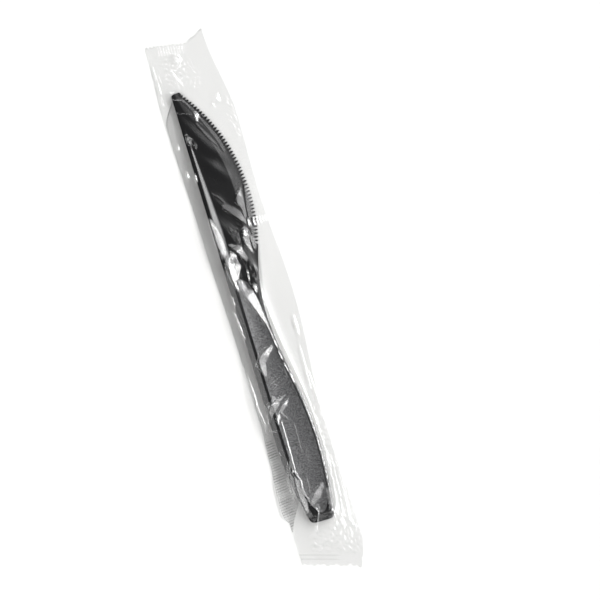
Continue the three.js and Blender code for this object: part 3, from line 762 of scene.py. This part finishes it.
def creased(k, sheet, near, x, s, points, slope):
    """Heights of the nodes near one crease: a lit side at the given slope, and a steep back."""
    taut, x, s = sheet[near], x[near], s[near]
    knots = np.array(points, float)
    lengths = np.hypot(*np.diff(knots[:, :2], axis=0).T)
    nearest = np.full(x.shape, np.inf)
    offset, full, foot_x, foot_s = (np.zeros(x.shape) for _ in range(4))
    for a, b, length in zip(knots[:-1], knots[1:], lengths):
        ux, us = (b[:2] - a[:2]) / length
        t = np.clip((x - a[0]) * ux + (s - a[1]) * us, 0, length)
        ridge_x, ridge_s = a[0] + t * ux, a[1] + t * us
        away = np.hypot(x - ridge_x, s - ridge_s)
        closer = away < nearest
        width = mix(a[2], b[2], t / length)
        nearest = np.where(closer, away, nearest)
        side = np.where((x - a[0]) * us - (s - a[1]) * ux >= 0, 1, -1)
        offset = np.where(closer, side * away, offset)
        full = np.where(closer, width, full)
        foot_x = np.where(closer, ridge_x + width * us, foot_x)
        foot_s = np.where(closer, ridge_s - width * ux, foot_s)
    foot = sampled(k, sheet, foot_x, foot_s)
    rise = math.tan(math.radians(slope))
    lit = foot + rise * (full - offset)
    behind = np.clip(-offset / (CREASE_BACK * np.maximum(full, CREASE_LEAST)), 0, 1)
    back = mix(foot + rise * full, taut, behind)
    shaped = np.where(offset >= 0, lit, back)
    return np.where((offset <= full) & (offset > -CREASE_BACK * full), shaped, taut)


def with_ridges(k, sheet, x, s, ridges):
    """A sheet with a list of ridges laid over it, the highest showing where they cross."""
    z = sheet.copy()
    for points, slope in ridges:
        knots = np.array(points, float)
        reach = knots[:, 2].max() + CREASE_SPARE
        near = (s > knots[:, 1].min() - reach) & (s < knots[:, 1].max() + reach)
        near &= (x > knots[:, 0].min() - reach) & (x < knots[:, 0].max() + reach)
        z[near] = np.maximum(z[near], creased(k, sheet, near, x, s, points, slope))
    return z


def crumpled(x, s, chance, size, slope):
    """Height of film crumpled into small pyramids, each turned and drawn out in its own way."""
    rise = np.full(x.shape, np.inf)
    for cs in np.arange(s.min(), s.max() + size, size):
        for cx in np.arange(x.min(), x.max() + size, size):
            dx = x - cx - size * chance.uniform(-0.5, 0.5)
            ds = s - cs - size * chance.uniform(-0.5, 0.5)
            heading = chance.uniform(0, math.pi)
            along = dx * math.cos(heading) + ds * math.sin(heading)
            across = ds * math.cos(heading) - dx * math.sin(heading)
            sides = np.maximum(np.abs(along) / chance.uniform(1, CRUMPLE_STRETCH), np.abs(across))
            rise = np.minimum(rise, sides + size * chance.uniform(0, CRUMPLE_STAGGER))
    return (rise - 0.5 * rise.mean()) * math.tan(math.radians(slope))


def folded(k, taut, x, s, seed):
    """The taut sheet with all its creases and crumpled places."""
    swell = with_ridges(k, taut, x, s, SWELLS) - taut
    for _ in range(SOFTENING):
        swell[1:-1, 1:-1] = (swell[1:-1, :-2] + swell[1:-1, 2:] + swell[:-2, 1:-1] + swell[2:, 1:-1]) / 4
    z = with_ridges(k, taut + swell, x, s, CREASES)
    chance = np.random.default_rng(seed)
    for cx, cs, rx, rs, size, slope in CRUMPLES:
        share = np.clip(1 - ((x - cx) / rx) ** 2 - ((s - cs) / rs) ** 2, 0, 1)
        inside = share > 0
        heights = crumpled(x[inside], s[inside], chance, size, slope)
        z[inside] += heights * ease(0, CRUMPLE_FULL, share[inside])
    return z


def film_grid(k, columns):
    """Plan of the sleeve: nodes across and along it, with its cut ends shaped, before it is given height."""
    s = np.linspace(FILM_TIP, FILM_BUTT, FILM_ROWS + 1)[:, None] + np.zeros((1, columns + 1))
    left, right = film_left(s), film_right(k, s)
    x = mix(left, right, np.linspace(0, 1, columns + 1)[None, :])
    cut = (through(TIP_CUT, x) - FILM_TIP) * (1 - ramp(FILM_TIP, FILM_TIP + TIP_CUT_FADE, s))
    teeth = CUT_TOOTH * saw(np.linspace(0, CUT_TEETH, columns + 1)[None, :], 1) * ease(*CUT_TEETH_STOP, x)
    teeth = teeth * (1 - ramp(FILM_TIP, FILM_TIP + CUT_TOOTH_BAND, s))
    slant = -BUTT_SLANT * (x - (left + right) / 2) * ease(k.length, FILM_BUTT - SEAL_BAND, s)
    waves = sum(height * np.sin(rate * x + start) for height, rate, start in BUTT_WAVES)
    waves = waves * ramp(FILM_BUTT - BUTT_WAVE_BAND, FILM_BUTT, s)
    waves = waves * mix(1, BUTT_WAVE_GROWTH, ease(*BUTT_WAVES_GROW, x))
    return x, s, s + cut + teeth + slant + waves


def fin_height(f, x, s):
    """Height of the fin seal: crimped where it shows beside the handle, nearly flat elsewhere."""
    shown = CRIMP_MEAN + CRIMP_SWING * uneven(CRIMP_RATES, s)
    crimp = mix(CRIMP_HIDDEN, shown, ease(*FIN_SHOWS, s)) * ramp(0, -1, x)
    return FIN_LIFT + FIN_RIBS * crimp * saw(s + FIN_RIBS_SLANT * x, f.rib_pitch)


def fold_height(x, s):
    """Height of the sleeve's folded sides, higher where they lie over the crimped fin."""
    return FOLD_HEIGHT + OVER_FIN * ease(*OVER_FIN_GROWS, s) * ramp(*OVER_FIN_SIDES, x)


def top_sheet(k, f, seed):
    """Nodes of the upper sheet: taut over the knife, slack beside its handle, creased and crimped."""
    x, row, s = film_grid(k, TOP_COLUMNS)
    relief = knife_relief(k, x, s)
    fold = fold_height(x, s)
    tip_seal, butt_seal = FILM_TIP + SEAL_BAND, FILM_BUTT - SEAL_BAND
    held = np.maximum(neighbours_highest(relief) + TAUT_GAP, fold)
    free = np.ones(x.shape, bool)
    free[:, [0, -1]] = False
    free &= (row > tip_seal) & (row < butt_seal)
    held[~free] = fold[~free]
    spacing = (x[:, 1:] - x[:, :-1]).mean() * FILM_ROWS / (FILM_BUTT - FILM_TIP)
    taut = pulled_taut(held, free, spacing**2)
    beside = ramp(edge_at(k, s), film_right(k, s), x)
    loose = ease(*SLACK_GROWS, s) * ease(k.length, k.length - SLACK_END, s)
    taut = mix(taut, fold + (taut - fold) * (1 - beside) ** SLACK, loose)
    across = np.linspace(0, 1, TOP_COLUMNS + 1)
    span = ramp(0, FOLD_SHARE, np.minimum(across, across[::-1]))
    ends = ramp(tip_seal, tip_seal + SEAL_FADE, row) * ramp(butt_seal, butt_seal - SEAL_FADE, row)
    z = mix(taut, folded(k, taut, x, s, seed), span * ends)
    z = np.maximum(z, np.maximum(relief + FILM_GAP, fold))
    ribbed = ease(*RIBS_START, x) * ease(*RIBS_STOP, x)
    ribbed = ribbed * (1 - ramp(tip_seal, tip_seal + RIBS_FADE, row)) * ramp(FILM_TIP, FILM_TIP + 1, row)
    z += RIBS * saw(x + RIBS_SLANT * row, f.rib_pitch) * ribbed
    z += CUT_CURL * (1 - ramp(FILM_TIP, FILM_TIP + CUT_CURL_BAND, row))
    pressed = sum(np.maximum(0, 1 - np.abs(row - (butt_seal + at)) / width) for at, width in BUTT_LINES)
    z += BUTT_LINE_HEIGHT * pressed * ease(*BUTT_LINES_STOP, x)
    return np.stack([x, s, z], 2), row


def back_sheet(k, f, top, row):
    """Nodes of the lower sheet, which lies on the table and is welded to the upper sheet at both ends."""
    x, _, s = film_grid(k, BACK_COLUMNS)
    above = np.stack([np.interp(x[i], top[i, :, 0], top[i, :, 2]) for i in range(len(x))])
    beside = np.where(knife_relief(k, x, s) > 0, 0, 1)
    waves = LAID_WAVE * saw(x + LAID_WAVE_SLANT * s, LAID_WAVE_PITCH) * beside
    over_fin = fin_height(f, x, 0 * s + OVER_FIN_STATION) * ease(*OVER_FIN_GROWS, s)
    laid = np.minimum(np.maximum(waves, over_fin) + FILM_GAP, above - FILM_GAP)
    tip_seal, butt_seal = FILM_TIP + SEAL_BAND, FILM_BUTT - SEAL_BAND
    at_tip = 1 - ramp(tip_seal, tip_seal + SEAL_FADE, row[:, :1])
    weld = np.maximum(at_tip, ramp(butt_seal - SEAL_FADE, butt_seal, row[:, :1]))
    return np.stack([x, s, mix(laid, above - FILM_GAP, weld)], 2)


def fin_seal(f):
    """Nodes of the fin along the back: two layers welded together, folded flat, with a curled edge."""
    out = np.linspace(0, 1, FIN_COLUMNS + 1)
    t = np.concatenate([out, out[::-1]])[None, :]
    layer = np.concatenate([0 * out, 0 * out + 1])[None, :]
    s = np.linspace(FIN_START, FIN_END, FIN_ROWS + 1)[:, None] + 0 * t
    x = mix(through(FIN_SEAM, s), through(FIN_EDGE, s), t)
    curl = FIN_CURL * ramp(*FIN_CURLS, x) ** 2 * ease(*FIN_SHOWS, s)
    return np.stack([x, s, fin_height(f, x, s) + curl + FIN_LAYER * layer], 2)


class KnifeSettings(bpy.types.PropertyGroup):
    """Sizes and colour of the knife"""

    length: FloatProperty(
        name="Length",
        description="From the tip to the butt",
        default=KNIFE_HIGH.y - KNIFE_LOW.y,
        unit="LENGTH",
    )
    belly_width: FloatProperty(
        name="Belly", description="Greatest width of the blade", default=0.02, unit="LENGTH"
    )
    neck_width: FloatProperty(name="Neck", description="Width at the waist", default=0.012, unit="LENGTH")
    handle_width: FloatProperty(
        name="Handle", description="Greatest width of the handle", default=0.0177, unit="LENGTH"
    )
    crest_height: FloatProperty(
        name="Crest", description="Height of the ridge beside the spine", default=0.0038, unit="LENGTH"
    )
    rim_height: FloatProperty(
        name="Rim", description="Height of the rim beside the edge", default=0.0031, unit="LENGTH"
    )
    panel_dish: FloatProperty(
        name="Dish", description="Depth of the grip panel", default=0.0008, unit="LENGTH"
    )
    tooth_pitch: FloatProperty(
        name="Tooth pitch", description="From tooth to tooth", default=0.0015, unit="LENGTH"
    )
    tooth_depth: FloatProperty(
        name="Tooth depth", description="From point to gullet", default=0.0015, unit="LENGTH"
    )
    plastic: FloatVectorProperty(
        name="Plastic",
        description="Colour of the plastic",
        default=linear("#0a0a0b"),
        subtype="COLOR",
        min=0,
        max=1,
    )
    grip: FloatVectorProperty(
        name="Grip",
        description="Colour of the etched panel",
        default=linear("#434344"),
        subtype="COLOR",
        min=0,
        max=1,
    )


class FilmSettings(bpy.types.PropertyGroup):
    """Sizes and colour of the film sleeve"""

    web_width: FloatProperty(
        name="Web", description="Width of the film before it is folded", default=0.078, unit="LENGTH"
    )
    web_length: FloatProperty(
        name="Cut", description="Length of film in one pack", default=0.2325, unit="LENGTH"
    )
    rib_pitch: FloatProperty(
        name="Ribs", description="Spacing of the crimp's ribs", default=0.0011, unit="LENGTH"
    )
    seed: IntProperty(
        name="Crumple", description="Chooses the places of the small creases", default=11, min=0
    )
    haze: FloatVectorProperty(
        name="Haze",
        description="Colour of the film's haze",
        default=linear("#f2f3f4"),
        subtype="COLOR",
        min=0,
        max=1,
    )


class StageSettings(bpy.types.PropertyGroup):
    """Floor, light and camera"""

    turn: FloatProperty(
        name="Turn",
        description="How far the view is turned about the vertical",
        default=math.radians(-16.8),
        subtype="ANGLE",
    )
    view_width: FloatProperty(
        name="View", description="Width that the view takes in", default=0.2501, unit="LENGTH"
    )
    view_centre: FloatVectorProperty(
        name="Centre",
        description="Middle of the view on the table",
        default=(0.017311, -0.002815),
        size=2,
        unit="LENGTH",
    )
    distance: FloatProperty(name="Distance", description="Camera above the table", default=1.5, unit="LENGTH")
    key: FloatProperty(name="Key", description="Brightness of the large soft box", default=16.0, min=0)
    glow: FloatProperty(
        name="Glow", description="Brightness of the wall behind the soft box", default=5.6, min=0
    )
    fill: FloatProperty(name="Fill", description="Brightness of the fills past both ends", default=3.6, min=0)
    lift: FloatProperty(
        name="Lift", description="Brightness of the fill on the shadow side", default=11.52, min=0
    )
    card: FloatProperty(
        name="Card", description="Brightness of the low card beside the spine", default=3.6, min=0
    )
    away: FloatProperty(name="Away", description="Distance of the lights", default=2.4, unit="LENGTH")
    room: FloatProperty(name="Room", description="Brightness of the room", default=0.03, min=0)
    paper: FloatVectorProperty(
        name="Paper",
        description="Colour of the floor",
        default=linear("#c4c4c3"),
        subtype="COLOR",
        min=0,
        max=1,
    )


class BuildKnife(bpy.types.Operator):
    """Moulded knife with its toothed edge, crested spine and stippled grip panel"""

    bl_idname = "wrapped_knife.knife"
    bl_label = "Knife"

    def execute(self, context):
        settings = context.scene.knife_settings
        k = millimetres(settings)
        rings, inside, panel_columns = knife_rings(k)
        rows, count = rings.shape[:2]
        faces = [*ring_faces(rows, count), range(count), range((rows - 1) * count, rows * count)]
        finish = np.zeros((rows - 1, count), int)
        finish[np.ix_(np.flatnonzero(inside[:-1] & inside[1:]), list(panel_columns))] = 1
        finishes = [polystyrene_polished(tuple(settings.plastic)), polystyrene_stippled(tuple(settings.grip))]
        points = to_frame(rings, KNIFE_LOW.z)
        knife = make_piece("moulded_knife", points, faces, finishes, [*finish.ravel(), 0, 0], KNIFE_SHARP)
        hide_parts("knife")
        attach(knife, "root")
        return {"FINISHED"}


class BuildFilm(bpy.types.Operator):
    """Creased film sleeve with crimped ends, and the fin seal along its back"""

    bl_idname = "wrapped_knife.film"
    bl_label = "Film sleeve"

    def execute(self, context):
        settings = context.scene.film_settings
        k = millimetres(context.scene.knife_settings)
        f = millimetres(settings)
        haze = tuple(settings.haze)
        # each film: share mirrored square on, share passed, and share passed on flanks leaning away from the
        # tip, which is painted shade
        cast = {"mirrored": 0.081, "passed": 0.984, "shaded_flank": 0.88}
        # crimped fin: real crimped film whose lower share passed greys the strip beside the spine, partly
        # painted shadow of the knife; its flanks leaning away from the tip pass 0.62, painted shade
        crimp = {"mirrored": 0.025, "passed": 0.93, "shaded_flank": 0.62}
        film = polypropylene_film(haze, "polypropylene_clear_cast_film", **cast)
        crimped = polypropylene_film(haze, "polypropylene_crimped_film_and_painted_shadow", **crimp)
        top, row = top_sheet(k, f, settings.seed)
        back = back_sheet(k, f, top, row)
        web = np.concatenate([back[:, SEAM_COLUMN:0:-1], top, back[:, -2 : SEAM_COLUMN - 1 : -1]], 1)
        faces = ring_faces(*web.shape[:2], closed=False)
        sleeve = make_piece("film_sleeve", to_frame(web), faces, [film], sharp=FILM_SHARP)
        strip = fin_seal(f)
        faces = ring_faces(*strip.shape[:2], closed=False)
        fin = make_piece("film_fin_seal", to_frame(strip), faces, [crimped], sharp=FILM_SHARP)
        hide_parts("wrapper")
        for piece in (sleeve, fin):
            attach(piece, "root")
        return {"FINISHED"}


class BuildStage(bpy.types.Operator):
    """Pale floor, soft studio light and the camera above the table"""

    bl_idname = "wrapped_knife.stage"
    bl_label = "Stage"

    def towards(self, bearing, height):
        """Unit vector at a bearing from +X and a height above the table, in degrees."""
        b, h = math.radians(bearing), math.radians(height)
        return Vector((math.cos(b) * math.cos(h), math.sin(b) * math.cos(h), math.sin(h)))

    def execute(self, context):
        scene = context.scene
        settings = scene.stage_settings
        corners = FLOOR_HALF * np.array([(-1, -1, 0), (1, -1, 0), (1, 1, 0), (-1, 1, 0)])
        floor = make_piece("paper_floor", corners, [(0, 1, 2, 3)], [paper_sweep(tuple(settings.paper))])

        # each box's bearing from +X and height in degrees, width and height in metres, and brightness
        boxes = [
            ("key_soft_box", 2, 31, 5.2, 0.27, settings.key),
            ("fill_above", 90, 42, 3.0, 0.5, settings.fill),
            ("fill_below", -90, 42, 3.0, 0.5, settings.fill / 3),
            ("fill_left", 180, 60, 2.0, 0.6, settings.lift),
            ("low_card", 190, 7, 3.0, 0.6, settings.card),
        ]
        for name, bearing, height, wide, tall, radiance in boxes:
            lamp = bpy.data.lights.new(name, "AREA")
            lamp.shape = "RECTANGLE"
            lamp.size, lamp.size_y = wide, tall
            lamp.energy = radiance * math.pi * wide * tall
            box = bpy.data.objects.new(name, lamp)
            # the fill on the shadow side lightens the paper and leaves no streak along the spine
            box.visible_glossy = name != "fill_left"
            out = self.towards(bearing, height)
            box.location = out * settings.away
            box.rotation_mode = "QUATERNION"
            box.rotation_quaternion = (-out).to_track_quat("-Z", "Y")
            scene.collection.objects.link(box)

        world = bpy.data.worlds.new("studio_room")
        world.use_nodes = True
        tree = world.node_tree
        look = add(tree, "ShaderNodeTexCoord").outputs["Generated"]
        along = add(tree, "ShaderNodeSeparateXYZ", {0: look}).outputs
        height = add(tree, "ShaderNodeMath", {0: along["Z"], 1: along["X"]}, operation="ARCTAN2")
        rise, foot = (
            add(tree, "ShaderNodeMapRange", {"Value": height, "From Min": low, "From Max": high})
            for low, high in np.radians([GLOW_RISES, GLOW_FOOT])
        )
        curve = add(tree, "ShaderNodeMath", {0: rise, 1: GLOW_CURVE}, operation="POWER")
        share = add(tree, "ShaderNodeMath", {0: curve, 1: foot}, operation="MULTIPLY")
        levels = {"Value": share, "To Min": settings.room, "To Max": settings.glow}
        strength = add(tree, "ShaderNodeMapRange", levels).outputs["Result"]
        background = tree.nodes["Background"]
        background.inputs["Color"].default_value = (1, 1, 1, 1)
        tree.links.new(strength, background.inputs["Strength"])
        scene.world = world

        lens = bpy.data.cameras.new("table_camera")
        lens.sensor_width = 36
        lens.lens = lens.sensor_width * settings.distance / settings.view_width
        lens.clip_start, lens.clip_end = 0.05, 20
        camera = bpy.data.objects.new("table_camera", lens)
        camera.location = (*settings.view_centre, settings.distance)
        camera.rotation_euler = (0, 0, settings.turn)
        scene.collection.objects.link(camera)
        scene.camera = camera
        scene.view_settings.view_transform = "Standard"
        scene.cycles.transparent_max_bounces = 32
        return {"FINISHED"}


class KnifePanel(bpy.types.Panel):
    """Lists the settings and the build steps"""

    bl_idname = "VIEW3D_PT_wrapped_knife"
    bl_label = "Wrapped knife"
    bl_space_type = "VIEW_3D"
    bl_region_type = "UI"
    bl_category = "Wrapped knife"

    def draw(self, context):
        parts = [
            (BuildKnife, context.scene.knife_settings),
            (BuildFilm, context.scene.film_settings),
            (BuildStage, context.scene.stage_settings),
        ]
        for operator, settings in parts:
            box = self.layout.box()
            box.operator(operator.bl_idname)
            for name in settings.__annotations__:
                box.prop(settings, name)


CLASSES = (KnifeSettings, FilmSettings, StageSettings, BuildKnife, BuildFilm, BuildStage, KnifePanel)
GROUPS = {"knife_settings": KnifeSettings, "film_settings": FilmSettings, "stage_settings": StageSettings}


def register():
    for made in CLASSES:
        bpy.utils.register_class(made)
    for name, group in GROUPS.items():
        setattr(bpy.types.Scene, name, PointerProperty(type=group))


def unregister():
    for name in GROUPS:
        delattr(bpy.types.Scene, name)
    for made in reversed(CLASSES):
        bpy.utils.unregister_class(made)


def main():
    register()
    bpy.ops.wrapped_knife.knife()
    bpy.ops.wrapped_knife.film()
    bpy.ops.wrapped_knife.stage()


if __name__ == "__main__":
    main()
